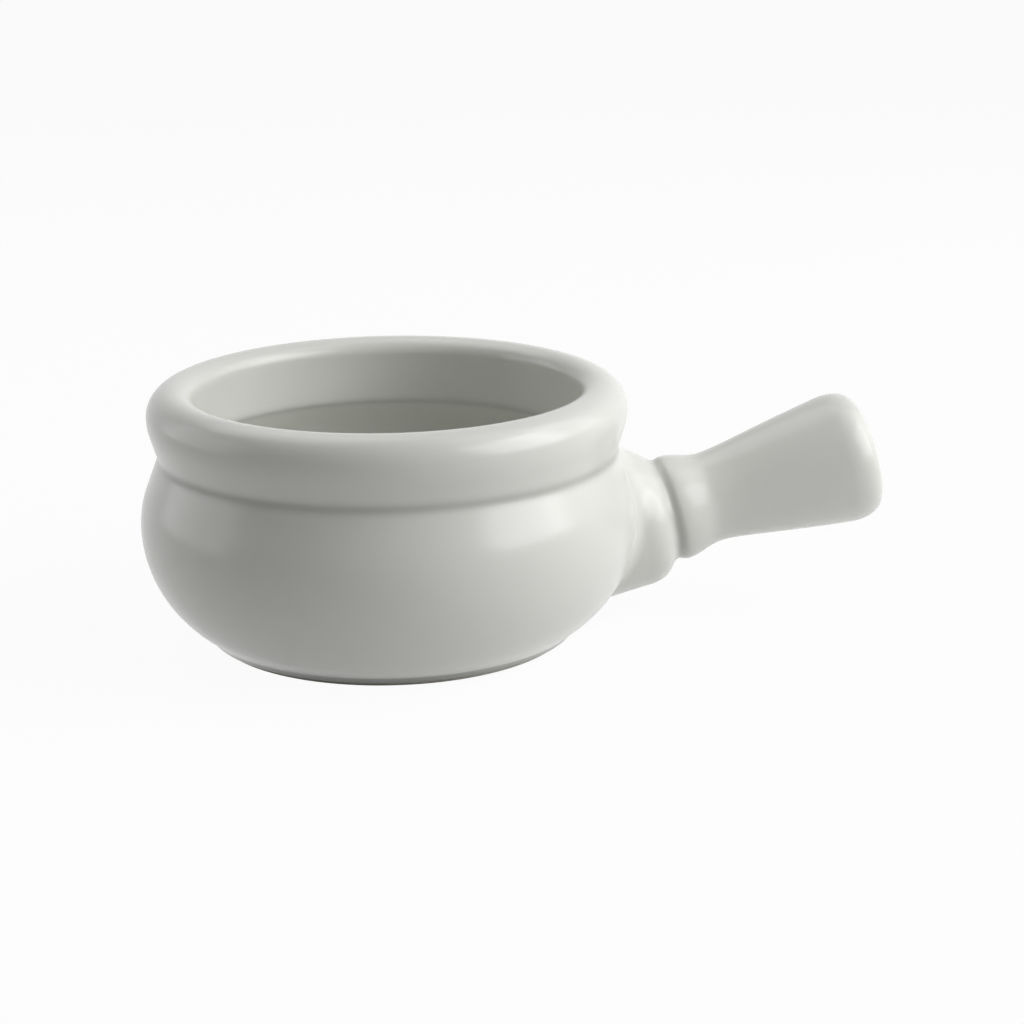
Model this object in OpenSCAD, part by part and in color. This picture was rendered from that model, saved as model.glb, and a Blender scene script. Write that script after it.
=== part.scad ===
// Handled onion soup crock: a footed china bowl with a full belly, a pinched neck and a
// rolled rim, and a hollow handle luted to the belly with slip. A coat of glaze covers the
// outside and another lines the bowl. Sizes are over the glaze. Z is the bowl's axis, the
// foot stands on Z = 0, and the handle points along +X.

/* [Belly] */
// Widest diameter
belly_d = 125; // [118:0.5:132]
// Height of the widest point
belly_z = 29.9; // [28:0.1:32]
// How far the belly has drawn in where it meets the foot
foot_in = 14.5; // [12:0.1:17]
// How far the neck's crease is drawn in
neck_in = 5; // [3.5:0.1:6.5]
// Height of the crease above the widest point
neck_rise = 17.6; // [15:0.1:20]
// Lean of the shoulder beyond that of its chord, in degrees
shoulder_bow = 5.2; // [2:0.1:10]
// Thickness of the belly wall
wall_t = 4.8; // [4:0.1:6]
// Thickness of the floor
floor_t = 4.8; // [4:0.1:6]
// How far the flat of the floor lies inside the foot's edge
floor_in = 15.5; // [12:0.5:20]

/* [Neck and rim] */
// How far the rim overhangs the crease
rim_out = 2.5; // [1.5:0.1:3.5]
// Height of the rim's widest point above the crease
band_rise = 10.2; // [8:0.1:12]
// Lean of the band under the rim beyond that of its chord, in degrees
band_bow = 3.2; // [1:0.1:6]
// How far the crest lies inside the rim's edge
crest_in = 6.8; // [5:0.1:8]
// Height of the crest above the rim's widest point
crest_rise = 6.8; // [5:0.1:8]
// Depth of the rim's inner round
lip_h = 3.6; // [3:0.1:5]
// Height of the throat, from the inner round down to the ledge inside the neck
throat_h = 13.2; // [11:0.1:14.5]
// How far the throat narrows from the ledge to the inner round
throat_in = 0.9; // [0.3:0.1:2]
// Thickness of the neck, from the crease to the ledge
neck_t = 8.1; // [7:0.1:9]
// Lean of the inside below the ledge beyond that of its chord, in degrees
inside_bow = 11.6; // [6:0.1:16]

/* [Foot] */
// How far the foot's side tapers in to the ground
foot_taper = 2.5; // [1.5:0.1:3.5]
// Height of the foot's side
foot_h = 3.2; // [2.5:0.1:4]
// Width of the ring that stands on the table
foot_land = 4.2; // [3:0.1:6]
// Radius of the foot's edges
foot_round = 0.7; // [0.4:0.1:1]
// Depth of the hollow inside the foot ring
foot_hollow = 1.8; // [1:0.1:2.5]
// Height that is wiped bare of glaze
foot_bare = 1.2; // [1:0.1:1.8]

/* [Handle root] */
// Diameter of the root where it leaves the belly
root_d = 33.8; // [31:0.1:36]
// Distance of that place beyond the widest point
root_out = 1.5; // [0.5:0.1:3]
// Depth of the root's centre below the widest point
root_drop = 5.3; // [3.5:0.1:7]
// Rise of the root's axis, in degrees
root_tilt = 9.6; // [6:0.1:12]
// Length of the root from there to its shoulder's face
root_len = 6.4; // [5.5:0.1:8]
// Length of the shoulder's round
shoulder_w = 7; // [5:0.1:8]
// Height of the shoulder's round
shoulder_drop = 5; // [4:0.1:6]

/* [Handle grip] */
// Distance of the waist beyond the root
waist_out = 18.9; // [17:0.1:22]
// Height of the waist's centre above the root's
waist_rise = 5; // [4:0.1:6.5]
// Diameter of the waist
waist_d = 23.4; // [21:0.1:25]
// Rise of the grip's axis, in degrees
grip_tilt = 13.6; // [11:0.1:16]
// Length from the waist to the end
grip_len = 42.5; // [36:0.5:52]
// Diameter where the flare runs into the end's round
end_d = 33.4; // [30:0.2:37]
// Length of the end's round
end_w = 8.5; // [6:0.1:10]
// Height of the end's round
end_drop = 4.9; // [4:0.1:7]
// Crown of the end's face
end_crown = 0.6; // [0.3:0.1:1.5]
// Length over which the waist eases into the straight flare
waist_ease = 5.2; // [2:0.1:7]
// Bulge of the flare halfway along
flare_bow = 0.25; // [0:0.05:0.5]
// Diameter of the collar
collar_d = 27.3; // [26.6:0.1:28.5]
// Width of the collar
collar_w = 5.7; // [5:0.1:7]
// Distance of the collar's middle behind the waist
collar_back = 9.5; // [8:0.1:10]
// Diameter of the groove behind the collar
groove_d = 25.7; // [24.5:0.1:26.2]

/* [Casting and luting] */
// Wall of the hollow handle
cast_t = 4; // [3:0.1:4.5]
// Bore of the vent that lets air out in the kiln
vent_d = 3; // [2:0.1:4]
// Distance of the vent beyond the waist
vent_out = 6; // [3:0.5:12]
// Slip between the handle and the belly
slip_t = 0.8; // [0.5:0.1:1.2]
// Fillet of wiped slip on top of the joint
fillet_top = 6.4; // [5:0.1:7]
// Fillet of wiped slip beside the joint
fillet_side = 2.4; // [1.8:0.1:3]
// Fillet of wiped slip under the joint
fillet_under = 0.7; // [0.5:0.1:1]

/* [Glaze] */
// Thickness of the glaze
glaze_t = 0.4; // [0.3:0.05:0.5]

/* [Hidden] */
$fn = 180;
// Steps in a long arc, a short one, the end's round and around the fillet
long_steps = 14;
short_steps = 6;
end_steps = 8;
fillet_sides = 48;
fillet_steps = 5;
search_steps = 26;
// How far the fillet bites into what it joins, and how far its heel lies inside
bite = 0.15;
heel = 1.2;
// A cut runs past a face by this much
overrun = 1;
clay_colour = [0.86, 0.83, 0.77];
slip_colour = [0.78, 0.75, 0.70];
glaze_colour = [0.93, 0.94, 0.93];

belly_r = belly_d / 2;
rim_r = belly_r - neck_in + rim_out;
crest_r = rim_r - crest_in;
ledge_r = belly_r - neck_in - neck_t;
mouth_r = ledge_r - throat_in;
foot_r = belly_r - foot_in - foot_taper;
floor_r = foot_r - floor_in;
rim_z = belly_z + neck_rise + band_rise;
rim_h = rim_z + crest_rise;
lip_z = rim_h - lip_h;
ledge_z = lip_z - throat_h;
floor_z = foot_hollow + floor_t;
root_x = belly_r + root_out;
root_z = belly_z - root_drop;
waist_x = root_x + waist_out;
waist_z = root_z + waist_rise;
// The round below the widest point runs down to the top of the foot
lower_r = (pow(foot_in, 2) + pow(belly_z - foot_h, 2)) / (2 * foot_in);
foot_angle = -asin((belly_z - foot_h) / lower_r);
// Each of the other rounds starts upright, turns until it leans enough, and runs straight on
shoulder_lean = atan(neck_in / neck_rise) + shoulder_bow;
upper_r = round_r(neck_in, neck_rise, shoulder_lean);
band_lean = atan(rim_out / band_rise) + band_bow;
rim_under_r = round_r(rim_out, band_rise, band_lean);
inside_in = belly_r - wall_t - ledge_r;
inside_lean = atan(inside_in / (ledge_z - belly_z)) + inside_bow;
inner_r = round_r(inside_in, ledge_z - belly_z, inside_lean);
// Towards the bowl the root's radius grows by a share of the way back, as far as the crest's
// radius. Its axis starts inside the foot's edge, so that the bowl holds all of its inner end.
root_swell_share = 0.08;
root_swell_len = root_x - crest_r;
root_deep = root_swell_len + foot_in;
// The grip's neck runs back from the waist into the root, as deep as the shoulder's round
neck_len = (waist_x - root_x - root_len * cos(root_tilt)) / cos(grip_tilt) + shoulder_w;
flare_end = grip_len - end_w;
// The shoulder's round starts here and ends at the root's face
shoulder_start = root_len - shoulder_w;

// Radius of a round that starts upright and turns by a lean, when the tangent at its end passes
// through a point this far inwards and this far along from its start
function round_r(inwards, along, lean) = (along * sin(lean) - inwards * cos(lean)) / (1 - cos(lean));

// Points on an arc about c, with half-axes a and b, from one angle to another
function arc(c, a, b, from, to, steps) =
    [for (i = [0:steps]) let (t = from + (to - from) * i / steps) [c.x + a * cos(t), c.y + b * sin(t)]];

// Where the line through p at angle t meets the line through q at angle u
function meet(p, t, q, u) =
    let (d = q - p, s = (d.x * sin(u) - d.y * cos(u)) / (cos(t) * sin(u) - sin(t) * cos(u)))
    p + s * [cos(t), sin(t)];

function reversed(points) = [for (i = [len(points) - 1:-1:0]) points[i]];

// Outside of the bowl from the foot's bare edge to the crest, g below the glaze's face
function foot_side(g) =
    let (top = arc([belly_r - lower_r, belly_z], lower_r - g, lower_r - g, foot_angle, 0, 1)[0],
         low = [foot_r - g, 0])
    low + (top - low) * foot_bare / foot_h;

function crease(g) =
    let (below = arc([belly_r - upper_r, belly_z], upper_r - g, upper_r - g, 0, shoulder_lean, 1)[1],
         above = arc([rim_r - rim_under_r, rim_z], rim_under_r - g, rim_under_r - g, -band_lean, 0, 1)[0])
    meet(below, 90 + shoulder_lean, above, 90 - band_lean);

function outside(g) = concat(
    [foot_side(g)],
    arc([belly_r - lower_r, belly_z], lower_r - g, lower_r - g, foot_angle, 0, long_steps),
    [for (p = arc([belly_r - upper_r, belly_z], upper_r - g, upper_r - g, 0, shoulder_lean, short_steps))
        if (p.y > belly_z) p],
    [crease(g)],
    arc([rim_r - rim_under_r, rim_z], rim_under_r - g, rim_under_r - g, -band_lean, 0, short_steps),
    [for (p = arc([crest_r, rim_z], rim_r - crest_r - g, rim_h - rim_z - g, 0, 90, long_steps))
        if (p.y > rim_z) p]);

// Inside of the bowl from the crest to the middle of the floor, g below the glaze's face
function inside(g) = concat(
    [for (p = arc([crest_r, lip_z], crest_r - mouth_r - g, lip_h - g, 90, 180, short_steps))
        if (p.x < crest_r) p],
    [[ledge_r + g, ledge_z]],
    arc([belly_r - wall_t - inner_r, belly_z], inner_r + g, inner_r + g, inside_lean, 0, short_steps),
    [for (p = arc([floor_r, belly_z], belly_r - wall_t + g - floor_r, belly_z - floor_z + g, 0, -90,
        long_steps)) if (p.y < belly_z) p],
    [[0, floor_z - g]]);

// The underside of the bare foot, from the middle out to the bare edge
function foot_under() = concat(
    [[0, foot_hollow]],
    [[foot_r - foot_land - foot_hollow, foot_hollow]],
    [[foot_r - foot_land, 0]],
    arc([foot_r - glaze_t - foot_round, foot_round], foot_round, foot_round, -90, 0, short_steps));

// Everything inside the bowl's outer face, g below the glaze's face
module filled_bowl(g) {
    rotate_extrude()
        polygon(concat([[0, 0], [foot_r - g - foot_round, 0]], outside(g), [[0, rim_h - g]]));
}

module bowl() {
    color(clay_colour)
        rotate_extrude()
            polygon(concat(foot_under(), outside(glaze_t), inside(glaze_t)));
}

module liner_glaze() {
    color(glaze_colour)
        rotate_extrude()
            polygon(concat([[crest_r, rim_h]], inside(0), reversed(inside(glaze_t)), [[crest_r, rim_h - glaze_t]]));
}

// Radius of the handle's root at a distance t along its axis: it swells towards the bowl
function root_r(t) = root_d / 2 + root_swell_share * min(max(-t, -root_len), root_swell_len);

// The root's axis, and a point at radius r from it, at angle a from the side towards the top
function root_axis(t) = [root_x + t * cos(root_tilt), 0, root_z + t * sin(root_tilt)];
function root_point(t, a, r) =
    root_axis(t) + r * [-sin(root_tilt) * sin(a), cos(a), cos(root_tilt) * sin(a)];

module root(g) {
    shoulder_r = root_r(shoulder_start) - g;
    translate([root_x, 0, root_z])
        rotate([0, 90 - root_tilt, 0])
            rotate_extrude()
                polygon(concat(
                    [[0, -root_deep], [root_r(-root_deep) - g, -root_deep]],
                    [[root_r(-root_swell_len) - g, -root_swell_len]],
                    arc([shoulder_r - shoulder_drop + g, shoulder_start], shoulder_drop - g, shoulder_w - g,
                        0, 90, short_steps),
                    [[0, root_len - g]]));
}

// Radius of the grip beyond the waist: it eases out of the waist into a flare that bulges a
// little, most of all halfway along
function flare(s) = sqrt(s * s + waist_ease * waist_ease) - waist_ease;
function grip_r(s) =
    let (share = flare(s) / flare(flare_end))
    waist_d / 2 + (end_d - waist_d) / 2 * share + 4 * flare_bow * share * (1 - share);

// Half a wave from 1 to 0, for the collar's slopes
function slope(t) = (1 + cos(180 * t)) / 2;

function collar(g) = concat(
    [for (i = [0:short_steps]) let (t = 1 - i / short_steps)
        [groove_d / 2 - g + (collar_d - groove_d) / 2 * slope(t), -collar_back - collar_w / 2 * t]],
    [for (i = [1:short_steps]) let (t = i / short_steps)
        [waist_d / 2 - g + (collar_d - waist_d) / 2 * slope(t), -collar_back * (1 - t)]]);

// The end's round goes on from the flare and turns down into the face
function end_edge(g) =
    [for (i = [0:end_steps]) let (t = 90 * i / end_steps, s = flare_end + (end_w - g) * sin(t))
        [grip_r(s) - g - (end_drop - g) * (1 - cos(t)), s]];

module grip(g) {
    translate([waist_x, 0, waist_z])
        rotate([0, 90 - grip_tilt, 0])
            rotate_extrude()
                polygon(concat(
                    [[0, -neck_len], [groove_d / 2 - g, -neck_len]],
                    collar(g),
                    [for (i = [1:long_steps - 1]) let (s = flare_end * i / long_steps) [grip_r(s) - g, s]],
                    end_edge(g),
                    [[0, grip_len - g + end_crown]]));
}

// The hollow of the root, open to the belly, and the hollow of the grip that it narrows into
module root_hollow() {
    depth = glaze_t + cast_t;
    translate([root_x, 0, root_z])
        rotate([0, 90 - root_tilt, 0])
            rotate_extrude()
                polygon([
                    [0, -root_deep - overrun],
                    [root_r(-root_swell_len) - depth, -root_deep - overrun],
                    [root_r(-root_swell_len) - depth, -root_swell_len],
                    [root_r(0) - depth, 0],
                    [groove_d / 2 - depth - cast_t / 2, root_len - cast_t / 2],
                    [0, root_len - cast_t / 2]]);
}

module hollow() {
    root_hollow();
    grip(glaze_t + cast_t);
}

// The vent, drilled from the grip's axis down through its underside
module vent() {
    translate([waist_x, 0, waist_z])
        rotate([0, 90 - grip_tilt, 0])
            translate([0, 0, vent_out])
                rotate([0, 90, 0])
                    cylinder(d = vent_d, h = end_d / 2 + overrun);
}

module handle() {
    color(clay_colour)
        difference() {
            union() {
                root(glaze_t);
                grip(glaze_t);
            }
            filled_bowl(glaze_t - slip_t);
            hollow();
            vent();
        }
}

// The fillet of slip around the joint. At each angle a the corner between root and belly is
// found by halving, and the fillet is a curve from the root, bent towards the corner, to the
// belly. It is largest on top, where it fills the neck's crease, and it stops short of the
// shoulder's round.
function fillet_size(a) =
    fillet_side
    + (fillet_top - fillet_side) * pow(max(0, sin(a)), 2)
    + (fillet_under - fillet_side) * pow(max(0, -sin(a)), 2);

function belly_gap(p, wall) = norm([p.x, p.y]) - lookup(p.z, wall);

function landing(a, extra, g, wall, near, far, steps) =
    let (t = (near + far) / 2)
    steps == 0 ? t
    : belly_gap(root_point(t, a, root_r(t) - g + extra), wall) < 0
        ? landing(a, extra, g, wall, t, far, steps - 1)
        : landing(a, extra, g, wall, near, t, steps - 1);

function fillet_section(a, g, wall) =
    let (size = fillet_size(a),
         corner_t = landing(a, 0, g, wall, -root_deep, root_len, search_steps),
         low_t = landing(a, size, g, wall, -root_deep, root_len, search_steps),
         corner = root_point(corner_t, a, root_r(corner_t) - g),
         root_t = min(corner_t + size, shoulder_start),
         on_root = root_point(root_t, a, root_r(root_t) - g - bite),
         on_belly = root_point(low_t - bite, a, root_r(low_t) - g + size))
    concat(
        [for (i = [0:fillet_steps]) let (s = i / fillet_steps)
            on_root * (1 - s) * (1 - s) + corner * 2 * s * (1 - s) + on_belly * s * s],
        [root_point(corner_t - heel, a, root_r(corner_t) - g - heel)]);

module fillet(g) {
    wall = [for (p = outside(g)) [p.y, p.x]];
    sections = [for (i = [0:fillet_sides - 1]) fillet_section(360 * i / fillet_sides, g, wall)];
    n = len(sections[0]);
    polyhedron(
        points = [for (s = sections) each s],
        faces = [for (i = [0:fillet_sides - 1], j = [0:n - 1])
            let (i2 = (i + 1) % fillet_sides, j2 = (j + 1) % n)
            each [[i * n + j, i2 * n + j, i2 * n + j2], [i * n + j, i2 * n + j2, i * n + j2]]]);
}

module joint_slip() {
    color(slip_colour)
        difference() {
            union() {
                intersection() {
                    root(glaze_t - bite);
                    filled_bowl(glaze_t - slip_t);
                }
                difference() {
                    fillet(glaze_t);
                    root(glaze_t);
                }
            }
            filled_bowl(glaze_t);
            root_hollow();
        }
}

module outer_glaze() {
    color(glaze_colour)
        difference() {
            union() {
                rotate_extrude()
                    polygon(concat(outside(0), [[0, rim_h], [0, foot_bare]]));
                root(0);
                grip(0);
                fillet(0);
            }
            filled_bowl(glaze_t);
            translate([0, 0, rim_h - overrun])
                cylinder(r = crest_r, h = 2 * overrun);
            root(glaze_t);
            grip(glaze_t);
            fillet(glaze_t);
            vent();
        }
}

bowl();
handle();
joint_slip();
outer_glaze();
liner_glaze();
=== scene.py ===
import math

import bpy
import numpy as np
from mathutils import Matrix, Vector


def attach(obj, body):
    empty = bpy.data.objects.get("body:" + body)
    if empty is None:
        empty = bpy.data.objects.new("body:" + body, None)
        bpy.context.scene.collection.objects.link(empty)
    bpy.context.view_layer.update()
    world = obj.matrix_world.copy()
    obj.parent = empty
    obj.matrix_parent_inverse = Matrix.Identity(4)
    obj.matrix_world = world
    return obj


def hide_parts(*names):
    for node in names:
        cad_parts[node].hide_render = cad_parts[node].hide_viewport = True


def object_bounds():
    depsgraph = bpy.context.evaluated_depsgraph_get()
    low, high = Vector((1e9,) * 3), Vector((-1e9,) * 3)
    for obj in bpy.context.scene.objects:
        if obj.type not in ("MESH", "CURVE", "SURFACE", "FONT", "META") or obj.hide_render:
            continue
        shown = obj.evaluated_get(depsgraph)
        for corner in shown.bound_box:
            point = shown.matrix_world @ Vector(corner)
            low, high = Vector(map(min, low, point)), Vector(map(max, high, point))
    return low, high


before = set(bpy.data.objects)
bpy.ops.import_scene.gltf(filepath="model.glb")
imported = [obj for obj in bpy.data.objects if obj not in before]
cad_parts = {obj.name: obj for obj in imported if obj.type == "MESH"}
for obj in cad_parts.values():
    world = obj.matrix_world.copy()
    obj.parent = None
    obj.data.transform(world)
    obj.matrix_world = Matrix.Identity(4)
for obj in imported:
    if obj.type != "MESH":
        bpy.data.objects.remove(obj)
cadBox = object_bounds()

# The crock's own sizes are millimetres over the glaze. Its axis is Z, it stands on Z = 0 and the
# handle points along +X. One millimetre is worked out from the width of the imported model.
belly = {
    "radius": 62.5,            # at its widest
    "height": 29.9,            # of the widest circle
    "footInset": 14.5,         # how far it has drawn in at the top of the foot
    "neckInset": 5.0,          # how far the neck's crease is drawn in
    "neckRise": 17.6,          # from the widest circle up to the crease
    "shoulderBow": 5.2,        # degrees that the shoulder leans beyond its chord
    "wall": 4.8,
    "floor": 4.8,
    "floorInset": 15.5,        # the floor's flat, inside the foot's edge
    "insideBow": 11.6,         # degrees that the inside leans beyond its chord
    "insideSoft": 0.35,        # how far the glaze rounds the ledge
}
rim = {
    "out": 2.5,                # overhang beyond the crease
    "bandRise": 10.2,          # from the crease to the rim's widest circle
    "bandBow": 3.2,            # degrees that the band leans beyond its chord
    "crest": 6.8,              # radius of the round from its side up to the crest
    "lip": 3.6,                # depth of the inner round
    "throat": 13.2,            # from the inner round down to the ledge
    "throatIn": 0.9,           # how far the throat narrows upwards
    "neckWall": 8.1,           # from the crease to the ledge
    "creaseSoft": 1.0,         # how far the glaze rounds the crease
}
foot = {
    "height": 3.2,
    "taper": 2.5,
    "hollow": 1.8,             # height of the clay inside the ring that it stands on
    "bare": 1.2,               # wiped clean of glaze up to here
    "soft": 0.6,               # how far the glaze rounds the corner on top of the foot
}
glaze = {"thick": 0.4}
bowlMesh = {
    "columns": 320,
    "spacing": 0.1,            # of the lines that the rows are taken from
    "outsideRows": (0.7, 0.22),    # spacing in general, and near the crease and the foot
    "outsideBack": (1.6, 0.9),     # the same behind the coat
    "outsideReach": 2.5,           # how far the near spacing goes on both sides of them
    "outsideArcs": (90, 40, 20, 60),   # points on the lower, upper, under and crest rounds
    "insideRows": (1.0, 0.2),      # spacing in general, and near the ledge
    "insideBack": (2.0, 1.2),
    "insideReach": 2.0,
    "insideArcs": (60, 50, 110),   # points on the lip's, the upper and the lower round
}

mm = (cadBox[1].y - cadBox[0].y) / (2 * belly["radius"])
print("frame loaded, one millimetre is", round(mm, 7), "m")


# Shapes that every piece shares

def roundRadius(inward, along, lean):
    # radius of a round that starts upright and turns by lean, so that its last tangent meets the
    # point that lies inward and along from its start
    return (along * math.sin(lean) - inward * math.cos(lean)) / (1 - math.cos(lean))


def softMin(a, b, reach):
    # the smaller of a and b, with the corner between them filled where they differ by under reach
    h = np.clip(0.5 + 0.5 * (b - a) / reach, 0, 1)
    return b * (1 - h) + a * h - reach * h * (1 - h)


def smooth(x):
    # 0 below 0, 1 above 1, and an even S between them
    x = np.clip(x, 0, 1)
    return x * x * (3 - 2 * x)


def bell(x, middle, reach):
    # 1 at the middle, and down to 0 on both sides as a normal curve
    return np.exp(-((x - middle) / reach) ** 2)


def unit(vectors):
    # the same directions at length 1
    return vectors / np.linalg.norm(vectors, axis=-1)[..., None]


def arcPoints(cx, cy, a, b, start, end, count):
    # points on an ellipse about (cx, cy) with half-axes a and b, angles in radians
    t = np.linspace(start, end, count)
    return np.stack([cx + a * np.cos(t), cy + b * np.sin(t)], -1)


def evenly(points, spacing):
    # the same line with points at an even spacing along it
    steps = np.r_[0, np.cumsum(np.hypot(*np.diff(points, axis=0).T))]
    at = np.linspace(0, steps[-1], max(3, int(round(steps[-1] / spacing)) + 1))
    return np.stack([np.interp(at, steps, points[:, 0]), np.interp(at, steps, points[:, 1])], -1)


def softened(points, spacing, reach):
    # the line averaged over reach with a bell-shaped weight, its ends kept
    line = evenly(points, spacing)
    n = max(1, int(round(3 * reach / spacing)))
    weights = np.exp(-0.5 * (np.arange(-n, n + 1) * spacing / reach) ** 2)
    weights /= weights.sum()
    padded = np.concatenate([2 * line[0] - line[n:0:-1], line, 2 * line[-1] - line[-2:-n - 2:-1]])
    out = np.stack([np.convolve(padded[:, k], weights, "valid") for k in (0, 1)], -1)
    out[0], out[-1] = line[0], line[-1]
    return out


def lineNormals(points):
    # unit normals to the left of a line's own direction
    d = np.gradient(points, axis=0)
    return unit(np.stack([-d[:, 1], d[:, 0]], -1))


# The bowl's outside, as a distance in the plane of radius and height
footRadius = belly["radius"] - belly["footInset"] - foot["taper"]
rimRadius = belly["radius"] - belly["neckInset"] + rim["out"]
crestRadius = rimRadius - rim["crest"]
ledgeRadius = belly["radius"] - belly["neckInset"] - rim["neckWall"]
mouthRadius = ledgeRadius - rim["throatIn"]
neckHeight = belly["height"] + belly["neckRise"]
rimHeight = neckHeight + rim["bandRise"]
crestHeight = rimHeight + rim["crest"]
lipHeight = crestHeight - rim["lip"]
ledgeHeight = lipHeight - rim["throat"]
lowerRise = belly["height"] - foot["height"]
lowerRadius = (belly["footInset"] ** 2 + lowerRise ** 2) / (2 * belly["footInset"])
shoulderLean = math.atan(belly["neckInset"] / belly["neckRise"]) + math.radians(belly["shoulderBow"])
upperRadius = roundRadius(belly["neckInset"], belly["neckRise"], shoulderLean)
bandLean = math.atan(rim["out"] / rim["bandRise"]) + math.radians(rim["bandBow"])
underRadius = roundRadius(rim["out"], rim["bandRise"], bandLean)


def bellyDistance(r, z):
    # below the widest circle the distance to the lower round, above it that to the upper round,
    # and past the shoulder's lean that to its straight side
    y = z - belly["height"]
    low = np.hypot(r - belly["radius"] + lowerRadius, y) - lowerRadius
    x = r - belly["radius"] + upperRadius
    up = np.hypot(x, y) - upperRadius
    side = x * math.cos(shoulderLean) + y * math.sin(shoulderLean) - upperRadius
    return np.where(y < 0, low, np.where(np.arctan2(y, x) < shoulderLean, up, side))


def footDistance(r, z):
    # distance to the foot's tapering side, cut off above inside the belly
    run = math.hypot(foot["taper"], foot["height"])
    side = ((r - footRadius) * foot["height"] - z * foot["taper"]) / run
    return np.maximum(side, z - 2 * foot["height"])


def rimDistance(r, z):
    # distance to the leaning band, then to the round under the rim, then to the crest's round
    y = z - rimHeight
    x = r - rimRadius + underRadius
    band = x * math.cos(bandLean) - y * math.sin(bandLean) - underRadius
    under = np.hypot(x, y) - underRadius
    crest = np.hypot(r - crestRadius, y) - rim["crest"]
    return np.where(y > 0, crest, np.where(np.arctan2(y, x) < -bandLean, band, under))


def bowlDistance(r, z):
    # the belly, the foot and the rim as one body, with the crease and the foot's corner filled
    return softMin(softMin(bellyDistance(r, z), footDistance(r, z), foot["soft"]), rimDistance(r, z),
                   rim["creaseSoft"])


def onBowl(points, step=0.01):
    # each point of a line moved along the distance's slope until it lies on the bowl
    p = points.copy()
    for _ in range(8):
        d = bowlDistance(p[:, 0], p[:, 1])
        gx = (bowlDistance(p[:, 0] + step, p[:, 1]) - d) / step
        gy = (bowlDistance(p[:, 0], p[:, 1] + step) - d) / step
        p -= (d / (gx * gx + gy * gy))[:, None] * np.stack([gx, gy], -1)
    return p


def outsideLine():
    # the foot's side, the lower round, the upper round, the band and the rim's round, up to the crest
    footAngle = -math.asin(lowerRise / lowerRadius)
    centre = belly["radius"] - upperRadius
    crease = np.array([[belly["radius"] - belly["neckInset"], neckHeight]])
    ground = np.array([[footRadius, 0]])
    low, up, under, crest = bowlMesh["outsideArcs"]
    sharp = np.concatenate([
        ground,
        arcPoints(belly["radius"] - lowerRadius, belly["height"], lowerRadius, lowerRadius,
                  footAngle, 0, low),
        arcPoints(centre, belly["height"], upperRadius, upperRadius, 0, shoulderLean, up)[1:],
        crease,
        arcPoints(rimRadius - underRadius, rimHeight, underRadius, underRadius, -bandLean, 0, under),
        arcPoints(crestRadius, rimHeight, rim["crest"], rim["crest"], 0, math.pi / 2, crest)[1:]])
    fine = onBowl(evenly(sharp, bowlMesh["spacing"]))
    fine[-1] = [crestRadius, crestHeight]
    return fine[fine[:, 1] >= foot["bare"]]


def insideLine():
    # the lip's inner round, the throat, the ledge, the inside of the belly and the floor
    inset = belly["radius"] - belly["wall"] - ledgeRadius
    rise = ledgeHeight - belly["height"]
    lean = math.atan(inset / rise) + math.radians(belly["insideBow"])
    radius = roundRadius(inset, rise, lean)
    floorRadius = footRadius - belly["floorInset"]
    floorHeight = foot["hollow"] + belly["floor"]
    widest = belly["radius"] - belly["wall"]
    lip, up, low = bowlMesh["insideArcs"]
    sharp = np.concatenate([
        arcPoints(crestRadius, lipHeight, crestRadius - mouthRadius, rim["lip"], math.pi / 2, math.pi, lip),
        [[ledgeRadius, ledgeHeight]],
        arcPoints(widest - radius, belly["height"], radius, radius, lean, 0, up),
        arcPoints(floorRadius, belly["height"], widest - floorRadius, belly["height"] - floorHeight,
                  0, -math.pi / 2, low)[1:],
        [[0, floorHeight]]])
    return softened(sharp, bowlMesh["spacing"], belly["insideSoft"])


def thinned(points, spacing, heights, reach):
    # fewer points along a fine line: the spacing goes from coarse to fine near each of some heights
    coarse, fine = spacing
    near = bell(points[:, 1:], np.array(heights), reach).max(1)
    gap = coarse - (coarse - fine) * near
    steps = np.hypot(*np.diff(points, axis=0).T)
    count = np.r_[0, np.cumsum(steps / gap[1:])]
    at = np.linspace(0, count[-1], int(math.ceil(count[-1])) + 1)
    return np.stack([np.interp(at, count, points[:, 0]), np.interp(at, count, points[:, 1])], -1)


# Meshes

def meshPiece(name, points, normals, quads, triangles, material, replaced, marks=None):
    # a closed mesh in metres with its own exact normals, riding on the root body
    mesh = bpy.data.meshes.new(name)
    mesh.from_pydata((points * mm).tolist(), [], quads.tolist() + triangles.tolist())
    mesh.polygons.foreach_set("use_smooth", np.ones(len(mesh.polygons), bool))
    for key, values in (marks or {}).items():
        mesh.attributes.new(key, "FLOAT", "POINT").data.foreach_set("value", values.astype(np.float32))
    mesh.normals_split_custom_set_from_vertices(normals.tolist())
    mesh.materials.append(material)
    mesh.update()
    piece = bpy.data.objects.new(name, mesh)
    bpy.context.scene.collection.objects.link(piece)
    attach(piece, "root")
    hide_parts(*replaced)
    return piece


def gridFaces(rows, columns, first=0):
    # quads between rows of a grid that closes on itself sideways, wound to face outwards when the
    # rows go up and the columns go anticlockwise
    i, j = np.meshgrid(np.arange(rows - 1), np.arange(columns), indexing="ij")
    k = (j + 1) % columns
    near, far = first + i * columns, first + (i + 1) * columns
    return np.stack([near + j, near + k, far + k, far + j], -1).reshape(-1, 4)


def poleFaces(row, columns, pole, upwards, first=0):
    # triangles from a ring to the point on the axis
    j = np.arange(columns)
    k = (j + 1) % columns
    a, b = first + row * columns + j, first + row * columns + k
    tip = np.full(columns, pole)
    return np.stack([a, b, tip] if upwards else [b, a, tip], -1)


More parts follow.
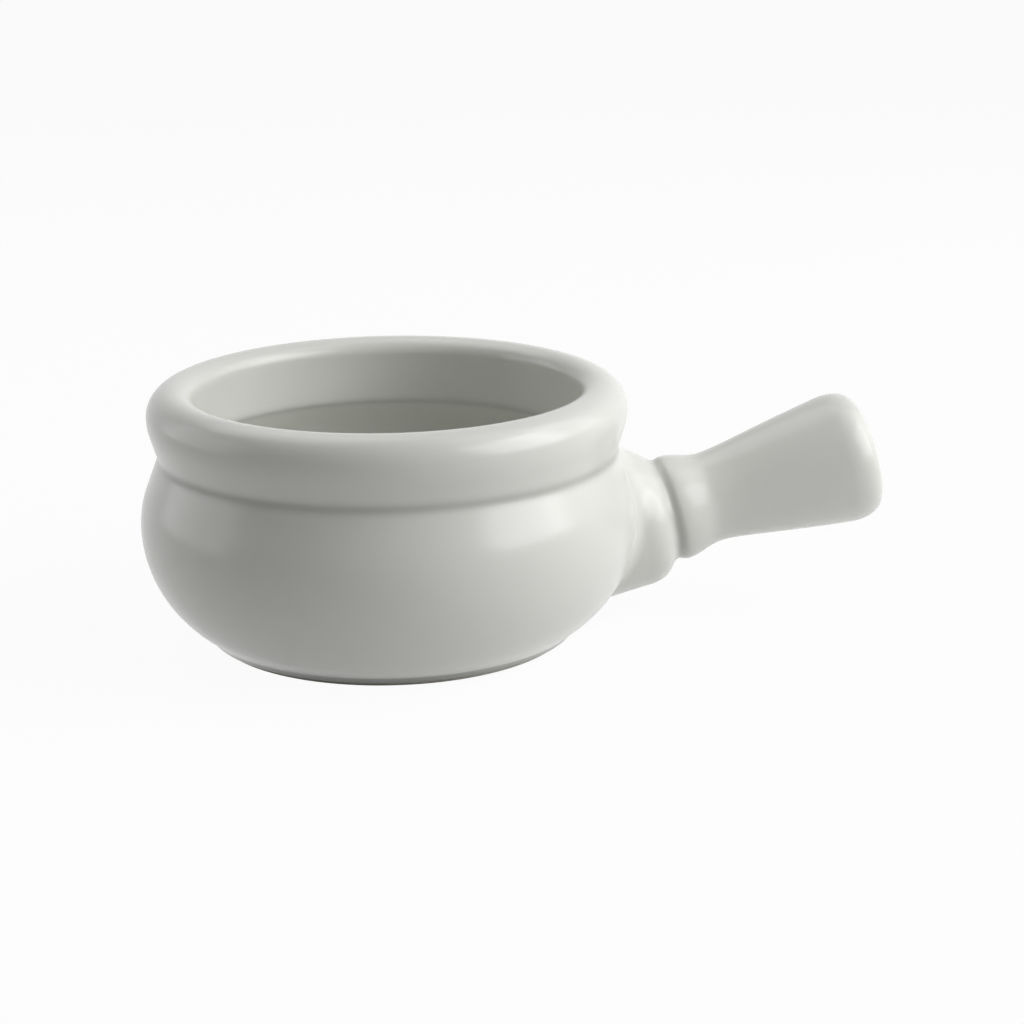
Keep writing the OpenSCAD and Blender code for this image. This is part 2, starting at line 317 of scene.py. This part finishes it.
def turned(line, columns):
    # a line in radius and height carried once round the axis
    a = np.arange(columns) * 2 * math.pi / columns
    around = [line[:, :1] * np.cos(a), line[:, :1] * np.sin(a), np.repeat(line[:, 1:], columns, 1)]
    return np.stack(around, -1).reshape(-1, 3)


# Materials

class Wire:
    # one output of a material's nodes, with arithmetic that adds Math nodes
    def __init__(self, tree, socket):
        self.tree, self.socket = tree, socket

    def add(self, kind, settings=None, inputs=None, output=0):
        # a node of any kind: its settings first, then the values or links of its inputs
        node = self.tree.nodes.new(kind)
        for key, value in (settings or {}).items():
            setattr(node, key, value)
        for key, value in (inputs or {}).items():
            if isinstance(value, Wire):
                self.tree.links.new(value.socket, node.inputs[key])
            else:
                node.inputs[key].default_value = value
        return Wire(self.tree, node.outputs[output])

    def maths(self, operation, other=0.0, first=None):
        a, b = (self, other) if first is None else (first, self)
        return self.add("ShaderNodeMath", {"operation": operation}, {0: a, 1: b})

    def __add__(self, other):
        return self.maths("ADD", other)

    def __radd__(self, other):
        return self.maths("ADD", other)

    def __sub__(self, other):
        return self.maths("SUBTRACT", other)

    def __rsub__(self, other):
        return self.maths("SUBTRACT", first=other)

    def __mul__(self, other):
        return self.maths("MULTIPLY", other)

    def __rmul__(self, other):
        return self.maths("MULTIPLY", other)


def newMaterial(name):
    # an empty material, its output and a wire to start from
    material = bpy.data.materials.new(name)
    material.use_nodes = True
    tree = material.node_tree
    tree.nodes.clear()
    output = tree.nodes.new("ShaderNodeOutputMaterial")
    place = tree.nodes.new("ShaderNodeTexCoord")
    return material, output, Wire(tree, place.outputs["Object"])


glazeLook = {
    "colour": (0.76, 0.766, 0.724),
    # dark grey for painted shade in the crease, groove, ledge and foot, a little of it pooled glaze
    "poolAndShadeColour": (0.36, 0.368, 0.338),
    "roughness": 0.23,
    "roughnessDrift": 0.08,
    "tintDrift": 0.08,
    "clouds": 30.0,            # patches to a metre, in which the tint and the gloss drift
    "wave": 75.0,              # slow waves to a metre and their height in metres
    "waveHeight": 0.00006,
    "peel": 900.0,             # fine waves to a metre and their height in metres
    "peelHeight": 0.0000015,
    "creasePoolAndShade": 0.55,        # share of the dark grey in the neck's crease: painted shade under the rim, where some glaze also pooled
    "creaseReach": 1.3,        # mm
    # share of the dark grey as painted shade in the groove before the collar, where some glaze also pooled
    "groovePoolAndShade": 0.55,
    "grooveReach": 1.6,
    "grooveShift": 0.7,        # how far the painted shade in the groove is moved onto the collar's back slope, which faces away from the light
    # share of the dark grey as painted shade under the inside ledge, where some glaze also pooled
    "ledgePoolAndShade": 0.33,
    "ledgeReach": 1.0,
    # share of the dark grey as painted shade on the glazed side of the foot, up to its top
    "footShade": 0.9,
    "footStart": 0.6,          # below the foot's top, and the height over which it fades there
    "footFade": 0.7,
}


def noise(place, scale, detail):
    return place.add("ShaderNodeTexNoise", {}, {"Vector": place, "Scale": scale, "Detail": detail})


def blended(share, first, second):
    # a colour between two colours
    return share.add("ShaderNodeMix", {"data_type": "RGBA"},
                     {"Factor": share, "A": (*first, 1), "B": (*second, 1)}, "Result")


def glazeMaterial():
    # white gloss that ripples a little, with a dark grey painted into the crease, the groove and under the
    # ledge as painted shade where some glaze also pooled, and as painted shade on the foot's side
    material, output, place = newMaterial("white_glaze")
    look = glazeLook
    wave = noise(place, look["wave"], 1.0)
    peel = noise(place, look["peel"], 1.0)
    cloud = noise(place, look["clouds"], 3.0)
    # how much of the dark grey painted shade each point gets, as the meshes give it
    poolAndShade = place.add("ShaderNodeAttribute", {"attribute_name": "poolAndShade"}, {}, "Fac")
    tint = blended(poolAndShade + cloud * look["tintDrift"], look["colour"], look["poolAndShadeColour"])
    height = wave * look["waveHeight"] + peel * look["peelHeight"]
    bump = place.add("ShaderNodeBump", {}, {"Height": height, "Distance": 1.0, "Strength": 1.0})
    rough = cloud * look["roughnessDrift"] + (look["roughness"] - look["roughnessDrift"] / 2)
    shader = place.add("ShaderNodeBsdfPrincipled", {},
                       {"Base Color": tint, "Roughness": rough, "IOR": 1.5, "Normal": bump})
    place.tree.links.new(shader.socket, output.inputs["Surface"])
    return material


clayLook = {
    "colour": (0.66, 0.63, 0.57),
    "dark": (0.50, 0.47, 0.41),
    "clouds": 90.0,            # patches to a metre, and how much of the dark colour they bring
    "cloudShare": 0.5,
    "grain": 1800.0,           # grains to a metre, how much they vary the colour, and their height
    "grainShare": 0.6,
    "grainHeight": 0.00006,
    "roughness": 0.75,
    "roughnessDrift": 0.1,
}


def clayMaterial():
    # unglazed fired clay: matt, fine-grained and a little sandy
    material, output, place = newMaterial("bare_clay")
    look = clayLook
    grain = noise(place, look["grain"], 4.0)
    cloud = noise(place, look["clouds"], 4.0)
    share = cloud * look["cloudShare"] + (grain - 0.5) * look["grainShare"]
    tint = blended(share, look["colour"], look["dark"])
    bump = place.add("ShaderNodeBump", {},
                     {"Height": grain, "Distance": look["grainHeight"], "Strength": 1.0})
    rough = grain * look["roughnessDrift"] + look["roughness"]
    shader = place.add("ShaderNodeBsdfPrincipled", {},
                       {"Base Color": tint, "Roughness": rough, "IOR": 1.45, "Normal": bump})
    place.tree.links.new(shader.socket, output.inputs["Surface"])
    return material


whiteGlaze = glazeMaterial()
bareClay = clayMaterial()
for name in ("bowl", "handle", "joint_slip"):
    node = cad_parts[name]
    for slot in node.material_slots:
        slot.material = bareClay
print("materials made")


# The bowl: its clay, the coat outside and the coat inside

outside = outsideLine()
inside = insideLine()


def outerCoat():
    # the outside line with the same line one coat deeper behind it, joined round the wiped edge
    columns, reach = bowlMesh["columns"], bowlMesh["outsideReach"]
    fineHeights = [neckHeight, foot["height"]]
    face = thinned(outside, bowlMesh["outsideRows"], fineHeights, reach)
    back = outside + lineNormals(outside) * glaze["thick"]
    back = thinned(back, bowlMesh["outsideBack"], fineHeights, reach)
    faceNormal = -lineNormals(face)
    faceNormal[-1] = [0, 1]
    line = np.concatenate([face, back[::-1]])
    normals = turned(np.concatenate([faceNormal, lineNormals(back)[::-1]]), columns)
    rows = len(line)
    j = np.arange(columns)
    k = (j + 1) % columns
    last = np.stack([(rows - 1) * columns + j, (rows - 1) * columns + k, k, j], -1)
    quads = np.concatenate([gridFaces(rows, columns), last])
    # painted shade on the glazed side of the foot, fading out at the foot's top
    footShadeMask = 1 - smooth((line[:, 1] - foot["height"] + glazeLook["footStart"]) / glazeLook["footFade"])
    # painted shade in the neck's crease under the rim's overhang, where some glaze also pooled, and painted
    # shade on the foot's side
    poolAndShade = (glazeLook["creasePoolAndShade"] * bell(line[:, 1], neckHeight, glazeLook["creaseReach"])
            + glazeLook["footShade"] * footShadeMask)
    return meshPiece("outer_coat", turned(line, columns), normals, quads, np.zeros((0, 3), int),
                     whiteGlaze, ["outer_glaze"], {"poolAndShade": np.repeat(poolAndShade, columns)})


def linerCoat():
    # the inside line down to the middle of the floor, and back under it one coat deeper
    columns, reach = bowlMesh["columns"], bowlMesh["insideReach"]
    face = thinned(inside, bowlMesh["insideRows"], [ledgeHeight], reach)[:-1]
    back = inside + lineNormals(inside) * glaze["thick"]
    back = thinned(back, bowlMesh["insideBack"], [ledgeHeight], reach)[:-1]
    faceNormal = -lineNormals(face)
    faceNormal[0] = [0, 1]
    line = np.concatenate([back[::-1], face])
    normals = turned(np.concatenate([lineNormals(back)[::-1], faceNormal]), columns)
    floorHeight = foot["hollow"] + belly["floor"]
    points = np.concatenate([turned(line, columns),
                             [[0, 0, floorHeight - glaze["thick"]], [0, 0, floorHeight]]])
    normals = np.concatenate([normals, [[0, 0, -1], [0, 0, 1]]])
    rows = len(line)
    tips = np.concatenate([poleFaces(0, columns, rows * columns, False),
                           poleFaces(rows - 1, columns, rows * columns + 1, True)])
    # painted shade under the inside ledge, where some glaze also pooled
    poolAndShade = glazeLook["ledgePoolAndShade"] * bell(line[:, 1], ledgeHeight, glazeLook["ledgeReach"])
    return meshPiece("liner_coat", points, normals, gridFaces(rows, columns), tips, whiteGlaze,
                     ["liner_glaze"], {"poolAndShade": np.r_[np.repeat(poolAndShade, columns), 0, 0]})


outerCoat()
linerCoat()
print("bowl made")


# The handle's coat

root = {
    "radius": 16.9,
    "out": 1.5,                # beyond the widest circle
    "drop": 5.3,               # below the widest circle
    "tilt": 9.6,               # degrees
    "swell": 0.08,             # growth towards the bowl, a share of the way back
    "swellLength": 10.8,
    "length": 6.4,
    "shoulderLength": 7.0,
    "shoulderDrop": 5.0,
    "shoulderSoft": 1.6,       # how far the turn into the shoulder is rounded
    "filletBottom": 1.2,       # how far the joint with the bowl is filled below, beside and above
    "filletSide": 3.0,
    "filletTop": 7.8,
}
grip = {
    "out": 18.9,               # from the root to the waist
    "rise": 5.0,
    "waist": 11.7,             # radius
    "tilt": 13.6,              # degrees
    "length": 42.5,
    "end": 16.7,               # radius where the flare runs into the end's round
    "endLength": 8.5,
    "endDrop": 4.9,
    "crown": 0.6,
    "ease": 5.2,
    "bow": 0.25,               # bulge of the flare halfway along
    "collar": 13.65,           # radius
    "collarWidth": 5.7,
    "collarBack": 9.5,
    "groove": 12.85,           # radius
    "grooveSoft": 2.5,         # how far the glaze rounds the groove
}
vent = {
    "out": 6.0,                # from the waist
    "radius": 1.5,
    "lip": 0.3,                # radius of its rolled edge
    "lipRings": 4,
    "cell": 0.36,              # length of a cell of the mesh
    "cells": 5,                # cells from its middle to the square that is cut out
    "reach": 13,               # cells over which the mesh goes back to straight rows
}
handleMesh = {
    "columns": 240,
    "skirtRows": 20,           # over the joint's corner, the root, its shoulder and the groove
    "barrelRows": 30,
    "shoulderRows": 24,
    "shoulderArc": (3, 84),    # degrees of the shoulder's quarter ellipse that have rows
    "grooveRows": 24,
    "grooveStart": 0.3,        # how far past the root's end the groove's rows start
    "jointRows": 110,          # all of those, spaced anew
    "skirtShare": 0.97,        # of the joint's corner that the skirt covers
    "skirtMove": 1.5,          # the most that a point of the skirt moves at once
    "searchBack": 8.0,         # how far behind the swell the search for the bowl starts
    "halvings": 30,            # of that search
    "easedRows": 8,            # outermost rows that turn to the bowl's own normals
    "dive": (1.2, 0.8, 0.4),   # how far the hidden rows go on under the bowl's coat
    "diveBend": 0.25,
    "collarRows": 24,
    "endRows": 28,
    "crownRows": 10,
    "innerStep": 4,            # the inner layer keeps one row in four
}

rootTilt, gripTilt = math.radians(root["tilt"]), math.radians(grip["tilt"])
rootPlace = np.array([belly["radius"] + root["out"], 0, belly["height"] - root["drop"]])
gripPlace = rootPlace + [grip["out"], 0, grip["rise"]]
rootAxis = np.array([math.cos(rootTilt), 0, math.sin(rootTilt)])
gripAxis = np.array([math.cos(gripTilt), 0, math.sin(gripTilt)])


def radial(axis, a):
    # unit vectors square to an axis in the XZ plane, at angle a from +Y towards the top
    up = np.array([-axis[2], 0, axis[0]])
    return np.cos(a)[..., None] * np.array([0, 1, 0]) + np.sin(a)[..., None] * up


def turnedOn(place, axis, along, out, angle):
    # points along an axis and out from it at an angle
    shape = np.broadcast_shapes(np.shape(along), np.shape(out), np.shape(angle))
    along, out, angle = (np.broadcast_to(x, shape) for x in (along, out, angle))
    return place + along[..., None] * axis + out[..., None] * radial(axis, angle)


def alongAndOut(points, place, axis):
    # each point's distance along an axis, and out from it
    d = points - place
    t = d @ axis
    return t, np.linalg.norm(d - t[..., None] * axis, axis=-1)


shoulderStart = root["length"] - root["shoulderLength"]


def rootRadius(t):
    # a cone that grows towards the bowl and runs out level where the shoulder starts
    return root["radius"] - root["swell"] * softMin(np.maximum(t, -root["swellLength"]), shoulderStart,
                                                    root["shoulderSoft"])


def rootDistance(points):
    # distance to the cone's surface, and past the shoulder's start to a quarter ellipse
    t, out = alongAndOut(points, rootPlace, rootAxis)
    across = rootRadius(t) - root["shoulderDrop"]
    x = np.maximum(t - shoulderStart, 0) / root["shoulderLength"]
    y = np.maximum(out - across, 0) / root["shoulderDrop"]
    size = np.maximum(np.hypot(x, y), 0.01)
    slope = np.hypot(x / root["shoulderLength"], y / root["shoulderDrop"])
    return (size - 1) * size / np.maximum(slope, 0.001)


flareEnd = grip["length"] - grip["endLength"]


def flare(s):
    # eases out of the waist into a straight line
    return np.sqrt(np.maximum(s, 0) ** 2 + grip["ease"] ** 2) - grip["ease"]


def gripRadius(s):
    # the groove, the collar's two soft slopes, and a flare that bulges a little halfway along
    start = -grip["collarBack"] - grip["collarWidth"] / 2
    rise = smooth((s - start) / (-grip["collarBack"] - start))
    fall = smooth(-s / grip["collarBack"])
    back = grip["groove"] + (grip["collar"] - grip["groove"]) * rise
    front = grip["waist"] + (grip["collar"] - grip["waist"]) * fall
    share = flare(s) / flare(flareEnd)
    wide = grip["waist"] + (grip["end"] - grip["waist"]) * share + 4 * grip["bow"] * share * (1 - share)
    return np.where(s < -grip["collarBack"], back, np.where(s < 0, front, wide))


def gripDistance(points, step=0.05):
    # distance out from the grip's turned profile, allowing for its slope
    s, out = alongAndOut(points, gripPlace, gripAxis)
    r = gripRadius(s)
    slope = (gripRadius(s + step) - r) / step
    return (out - r) / np.hypot(1, slope)


def filletReach(points):
    # how far the joint with the bowl is filled, most of all on top
    d = points - rootPlace
    up = d @ np.array([-rootAxis[2], 0, rootAxis[0]])
    up = up / np.hypot(up, d[..., 1])
    return (root["filletSide"] + (root["filletTop"] - root["filletSide"]) * smooth(up)
            + (root["filletBottom"] - root["filletSide"]) * smooth(-up))


def bowlField(points):
    return bowlDistance(np.hypot(points[..., 0], points[..., 1]), points[..., 2])


def handleDistance(points):
    # bowl, root and grip as one body with the groove and the joint with the bowl filled
    body = softMin(rootDistance(points), gripDistance(points), grip["grooveSoft"])
    return softMin(bowlField(points), body, filletReach(points))


def slopeOf(distance, points, step=0.02):
    # a distance's slope by central differences
    moves = np.eye(3) * step
    return np.stack([distance(points + m) - distance(points - m) for m in moves], -1) / (2 * step)


def settled(distance, points, rounds=8):
    # points moved along the slope until the distance is nothing
    for _ in range(rounds):
        g = slopeOf(distance, points)
        points = points - (distance(points) / np.maximum((g * g).sum(-1), 0.01))[..., None] * g
    return points


def respaced(rows, count):
    # each column of a grid cut anew into an even spacing along it
    steps = np.linalg.norm(np.diff(rows, axis=0), axis=-1)
    length = np.concatenate([np.zeros((1, rows.shape[1])), np.cumsum(steps, axis=0)])
    target = np.linspace(0, 1, count)[:, None] * length[-1]
    index = np.clip((length[None] <= target[:, None]).sum(1) - 1, 0, len(rows) - 2)
    low, high = (np.take_along_axis(length, index + k, 0) for k in (0, 1))
    share = ((target - low) / (high - low))[..., None]
    before, after = (np.take_along_axis(rows, (index + k)[..., None], 0) for k in (0, 1))
    return before * (1 - share) + after * share


def skirtRows(corner, count):
    # rows that leave the corner over the bowl, at even distances from the root
    rows, point, most = [corner], corner, handleMesh["skirtMove"]
    for share in np.linspace(0, handleMesh["skirtShare"], count)[1:]:
        for _ in range(4):
            n = slopeOf(bowlField, point)
            g = slopeOf(rootDistance, point)
            g -= ((g * n).sum(-1) / (n * n).sum(-1))[:, None] * n
            miss = filletReach(point) * share - rootDistance(point)
            step = np.clip(miss / (g * g).sum(-1), -most, most)
            point = settled(bowlField, point + step[:, None] * g, 2)
        rows.append(point)
    return np.stack(rows[::-1])


def landing(angle):
    # where lines along the root's surface meet the bowl, found by halving
    near = np.full(len(angle), -root["swellLength"] - handleMesh["searchBack"])
    far = np.full(len(angle), root["length"])
    for _ in range(handleMesh["halvings"]):
        t = (near + far) / 2
        within = bowlField(turnedOn(rootPlace, rootAxis, t, rootRadius(t), angle)) < 0
        near, far = np.where(within, t, near), np.where(within, far, t)
    return t


def jointRows(angle):
    # rows from the bowl over the root, its shoulder and the groove up to the collar, settled on
    # the filled body, and spaced evenly
    t = landing(angle)
    skirt = skirtRows(turnedOn(rootPlace, rootAxis, t, rootRadius(t), angle), handleMesh["skirtRows"])
    share = np.linspace(0, 1, handleMesh["barrelRows"])[1:, None]
    along = t * (1 - share) + shoulderStart * share
    barrel = turnedOn(rootPlace, rootAxis, along, rootRadius(along), angle)
    q = np.radians(np.linspace(*handleMesh["shoulderArc"], handleMesh["shoulderRows"]))[:, None]
    across = rootRadius(shoulderStart) - root["shoulderDrop"]
    shoulder = turnedOn(rootPlace, rootAxis, shoulderStart + root["shoulderLength"] * np.sin(q),
                        across + root["shoulderDrop"] * np.cos(q), angle)
    side = gripPlace + grip["groove"] * radial(gripAxis, angle) - rootPlace
    start = root["length"] + handleMesh["grooveStart"]
    first = (start - side @ rootAxis) / (gripAxis @ rootAxis)
    share = np.linspace(0, 1, handleMesh["grooveRows"])[:, None]
    along = first * (1 - share) - grip["collarBack"] * share
    groove = turnedOn(gripPlace, gripAxis, along, gripRadius(along), angle)
    rows = settled(handleDistance, np.concatenate([skirt, barrel, shoulder, groove]))
    return settled(handleDistance, respaced(rows, handleMesh["jointRows"]))


def jointNormals(rows):
    # the filled body's slope, which turns to the bowl's own in the outermost rows, so that no
    # edge shows there
    count = handleMesh["easedRows"]
    normals = unit(slopeOf(handleDistance, rows))
    bowlNormals = unit(slopeOf(bowlField, rows[:count]))
    share = np.linspace(1, 0, count)[:, None, None]
    normals[:count] = normals[:count] * (1 - share) + bowlNormals * share
    return unit(normals)


def hiddenRows(first, second, normal):
    # rows that go on beyond the first row and dive under the bowl's coat
    away = first - second
    away = unit(away - (away * normal).sum(-1)[:, None] * normal)
    dive = np.array(handleMesh["dive"])[:, None, None]
    return first + dive * away - normal * handleMesh["diveBend"] * dive ** 2


def gripRows(angle):
    # rows over the collar, the waist and the flare, drawn into circles round the vent, and the
    # number of the row through its middle
    collar = np.linspace(-grip["collarBack"], 0, handleMesh["collarRows"] + 1)[1:]
    along = np.r_[collar, np.arange(1, int(flareEnd / vent["cell"]) + 1) * vent["cell"]]
    middle = len(collar) + int(round(vent["out"] / vent["cell"])) - 1
    columns = len(angle)
    i = (np.arange(len(along)) - middle)[:, None] / vent["cells"]
    j = ((np.arange(columns) + columns // 2) % columns - columns // 2)[None] / vent["cells"]
    ring = np.maximum(abs(i), abs(j))
    reach = vent["reach"] / vent["cells"]
    stay = smooth((ring - 1) / (reach - 1))
    lip = (vent["radius"] + vent["lip"]) * ring / np.maximum(np.hypot(i, j), 0.001)
    turn = angle + math.pi / 2
    turn = np.where(turn > math.pi, turn - 2 * math.pi, turn)
    place = along[middle]
    s = place + (along[:, None] - place) * stay + lip * i * (1 - stay)
    a = turn * stay + lip * j * (1 - stay) / gripRadius(place) - math.pi / 2
    s, a = np.where(ring < reach, s, along[:, None]), np.where(ring < reach, a, angle)
    return turnedOn(gripPlace, gripAxis, s, gripRadius(s), a), middle


def endRows(angle):
    # the flare goes on and turns down in a quarter ellipse, then a low crown runs to the pole
    q = np.radians(np.linspace(0, 90, handleMesh["endRows"])[1:])
    along = flareEnd + grip["endLength"] * np.sin(q)
    edge = gripRadius(along) - grip["endDrop"] * (1 - np.cos(q))
    share = np.linspace(1, 0, handleMesh["crownRows"])[1:-1]
    s = np.r_[along, grip["length"] + grip["crown"] * (1 - share ** 2)]
    out = np.r_[edge, edge[-1] * share]
    return turnedOn(gripPlace, gripAxis, s[:, None], out[:, None], angle)


def ventWalk():
    # rows and columns from the vent's middle, once round the square that is cut out
    n = vent["cells"]
    walk = [(-n, x) for x in range(-n, n)] + [(x, n) for x in range(-n, n)]
    return np.array(walk + [(-y, -x) for y, x in walk])


def outsideVent(faces, row, columns, first=0):
    # a layer's faces without those in the vent's square
    y = (faces - first) // columns - row
    x = ((faces - first) % columns + columns // 2) % columns - columns // 2
    n = vent["cells"]
    return faces[(abs(y.mean(1)) > n) | (abs(x.mean(1)) > n) | (np.ptp(x, axis=1) > 2)]


def rolledLip(edge, centre):
    # rings from the edge of the vent round a quarter circle into it, with their normals
    down = radial(gripAxis, np.array(-math.pi / 2))
    inwards = centre - edge
    inwards = unit(inwards - (inwards @ down)[:, None] * down)
    q = np.radians(np.linspace(0, 90, vent["lipRings"] + 1))[1:, None, None]
    rings = edge + vent["lip"] * (np.sin(q) * inwards - (1 - np.cos(q)) * down)
    return rings, np.cos(q) * down + np.sin(q) * inwards


def handleCoat():
    # an outer and an inner layer of one grid, joined by a hem under the bowl's coat and by the
    # vent's rolled lip, with a pole on the end
    columns = handleMesh["columns"]
    angle = np.arange(columns) * 2 * math.pi / columns - math.pi / 2
    joint = jointRows(angle)
    jointNormal = jointNormals(joint)
    hidden = hiddenRows(joint[0], joint[1], jointNormal[0])
    lengthwise, ventRow = gripRows(angle)
    outer = np.concatenate([hidden, joint, lengthwise, endRows(angle)])
    rows = len(outer)
    ventRow += len(hidden) + len(joint)
    # normals from the distance up to the collar, and from the grid beyond it
    around = np.roll(outer, -1, 1) - np.roll(outer, 1, 1)
    normal = unit(np.cross(around, np.gradient(outer, axis=0)))
    normal[:len(hidden)] = jointNormal[0]
    normal[len(hidden):len(hidden) + len(joint)] = jointNormal
    # the inner layer has all rows round the vent and one in four elsewhere
    start, end, step = ventRow - vent["reach"], ventRow + vent["reach"] + 1, handleMesh["innerStep"]
    kept = np.r_[0:start:step, start:end, end:rows - 1:step, rows - 1]
    inner = (outer - normal * glaze["thick"])[kept]
    size, pole = rows * columns, (rows + len(kept)) * columns
    j = np.arange(columns)
    k = (j + 1) % columns
    hem = np.stack([j, size + j, size + k, k], -1)
    innerVent = int(np.searchsorted(kept, ventRow))
    outerFaces = outsideVent(gridFaces(rows, columns), ventRow, columns)
    innerFaces = outsideVent(gridFaces(len(kept), columns, size)[:, ::-1], innerVent, columns, size)
    walk = ventWalk()
    ringOuter = (ventRow + walk[:, 0]) * columns + walk[:, 1] % columns
    ringInner = size + (innerVent + walk[:, 0]) * columns + walk[:, 1] % columns
    flat = outer.reshape(-1, 3)
    rolled, rolledNormal = rolledLip(flat[ringOuter], outer[ventRow, 0])
    between = pole + 2 + np.arange(rolled.size // 3).reshape(len(rolled), -1)
    rings = np.concatenate([ringOuter[None], between, ringInner[None]])
    a, b = rings[:-1], rings[1:]
    lipFaces = np.stack([a, np.roll(a, -1, 1), np.roll(b, -1, 1), b], -1).reshape(-1, 4)
    tip = gripPlace + (grip["length"] + grip["crown"]) * gripAxis
    points = np.concatenate([flat, inner.reshape(-1, 3), [tip, tip - gripAxis * glaze["thick"]],
                             rolled.reshape(-1, 3)])
    normals = np.concatenate([normal.reshape(-1, 3), -normal[kept].reshape(-1, 3), [gripAxis, -gripAxis],
                              rolledNormal.reshape(-1, 3)])
    tips = np.concatenate([poleFaces(rows - 1, columns, pole, True),
                           poleFaces(len(kept) - 1, columns, pole + 1, False, size)])
    quads = np.concatenate([outerFaces, innerFaces, hem, lipFaces])
    # points inside the vent are left out
    used = np.zeros(len(points), bool)
    used[quads] = used[tips] = True
    order = np.cumsum(used) - 1
    s, _ = alongAndOut(points[used], gripPlace, gripAxis)
    # painted shade in the groove before the collar, moved onto its shaded back slope, where some glaze also
    # pooled
    grooveMiddle = glazeLook["grooveShift"] - grip["collarBack"] - grip["collarWidth"] / 2
    poolAndShade = glazeLook["groovePoolAndShade"] * bell(s, grooveMiddle, glazeLook["grooveReach"])
    return meshPiece("handle_coat", points[used], normals[used], order[quads], order[tips], whiteGlaze,
                     ["outer_glaze"], {"poolAndShade": poolAndShade})


handleCoat()
print("handle made")


# Floor, light and camera

studio = {
    "floor": (0.80, 0.80, 0.80),
    "floorRadius": 3.0,          # metres
    "floorDrop": 0.00003,        # under the crock's foot, so that the two faces don't coincide
    "floorWhite": 0.95,          # share of plain white that the camera sees on the floor
    "ambient": 0.0,              # strength of the light that the world gives
    "aim": (0.02, 0, 0.03),      # point that the lamps face, in metres
    "lamps": [
        # name, direction round and up in degrees, distance, width, height, power in watts
        ("key", 60, 32, 1.0, 0.8, 0.8, 6.7),
        ("side", 92, 32, 1.0, 0.8, 0.8, 2.9),
        ("over", 90, 62, 1.0, 0.6, 0.6, 1.3),
        ("back", -150, 60, 1.0, 0.7, 0.7, 1.8),
        ("left", -108, 14, 1.0, 0.9, 0.8, 2.6),
    ],
}


def seenDirectly(tree):
    # 1 for what the camera sees straight, in a gloss or through glass, and 0 for what lights a surface
    path = tree.nodes.new("ShaderNodeLightPath")
    camera, gloss, glass = (Wire(tree, path.outputs[key])
                            for key in ("Is Camera Ray", "Is Glossy Ray", "Is Transmission Ray"))
    return camera.maths("MAXIMUM", gloss.maths("MAXIMUM", glass))


def makeFloor():
    # a wide disc just under Z = 0, nearly white to the camera, with the crock's own faint shadow
    columns = 96
    a = np.arange(columns) * 2 * math.pi / columns
    across = studio["floorRadius"]
    points = [(across * math.cos(x), across * math.sin(x), -studio["floorDrop"]) for x in a]
    mesh = bpy.data.meshes.new("floor")
    mesh.from_pydata(points, [], [list(range(columns))])
    material, output, place = newMaterial("pale_floor")
    paper = place.add("ShaderNodeBsdfDiffuse", {}, {"Color": (*studio["floor"], 1)})
    white = place.add("ShaderNodeEmission", {}, {"Color": (1, 1, 1, 1), "Strength": 1.0})
    seen = seenDirectly(place.tree) * studio["floorWhite"]
    mixed = place.add("ShaderNodeMixShader", {}, {0: seen, 1: paper, 2: white})
    place.tree.links.new(mixed.socket, output.inputs["Surface"])
    mesh.materials.append(material)
    floor = bpy.data.objects.new("floor", mesh)
    bpy.context.scene.collection.objects.link(floor)


def makeLight():
    # soft lamps that face the crock, and a plain world that looks white to the camera
    for name, around, up, distance, width, height, power in studio["lamps"]:
        lamp = bpy.data.lights.new(name, "AREA")
        lamp.shape, lamp.size, lamp.size_y, lamp.energy = "RECTANGLE", width, height, power
        a, e = math.radians(around), math.radians(up)
        back = Vector((math.sin(a) * math.cos(e), -math.cos(a) * math.cos(e), math.sin(e)))
        holder = bpy.data.objects.new(name, lamp)
        holder.location = Vector(studio["aim"]) + back * distance
        holder.rotation_euler = (-back).to_track_quat("-Z", "Y").to_euler()
        bpy.context.scene.collection.objects.link(holder)
    world = bpy.data.worlds.new("studio")
    bpy.context.scene.world = world
    world.use_nodes = True
    tree = world.node_tree
    tree.nodes.clear()
    output = tree.nodes.new("ShaderNodeOutputWorld")
    seen = seenDirectly(tree)
    dim = seen.add("ShaderNodeBackground", {}, {"Color": (1, 1, 1, 1), "Strength": studio["ambient"]})
    white = seen.add("ShaderNodeBackground", {}, {"Color": (1, 1, 1, 1), "Strength": 1.0})
    mixed = seen.add("ShaderNodeMixShader", {}, {0: seen, 1: dim, 2: white})
    tree.links.new(mixed.socket, output.inputs["Surface"])


cameraView = {
    "up": 15.98,               # degrees above the level
    "roll": -0.69,             # degrees
    "turn": 9.86,              # degrees that the handle points away
    "distance": 673.0,         # mm
    "frame": 1024,             # pixels
    "focal": 2660.0,           # pixels
    "sensor": 36,              # mm
    "aimRight": 30.83,         # mm
    "aimUp": 30.2,             # mm
}


def makeCamera():
    # the photograph's view: up, round and rolled by the fitted angles, at the fitted distance
    e, a, t = (math.radians(cameraView[k]) for k in ("up", "roll", "turn"))
    right = Vector((math.cos(t), -math.sin(t), 0))
    back = Vector((-math.cos(e) * math.sin(t), -math.cos(e) * math.cos(t), math.sin(e)))
    up = back.cross(right)
    r = right * math.cos(a) + up * math.sin(a)
    u = up * math.cos(a) - right * math.sin(a)
    target = right * cameraView["aimRight"] + Vector((0, 0, cameraView["aimUp"]))
    place = (target + back * cameraView["distance"]) * mm
    camera = bpy.data.cameras.new("view")
    camera.sensor_width = cameraView["sensor"]
    camera.lens = cameraView["focal"] / cameraView["frame"] * camera.sensor_width
    holder = bpy.data.objects.new("view", camera)
    turn = Matrix((r, u, back)).transposed()
    holder.matrix_world = Matrix.Translation(place) @ turn.to_4x4()
    bpy.context.scene.collection.objects.link(holder)
    bpy.context.scene.camera = holder


makeFloor()
makeLight()
makeCamera()
bpy.context.scene.view_settings.view_transform = "Standard"
print("studio made")
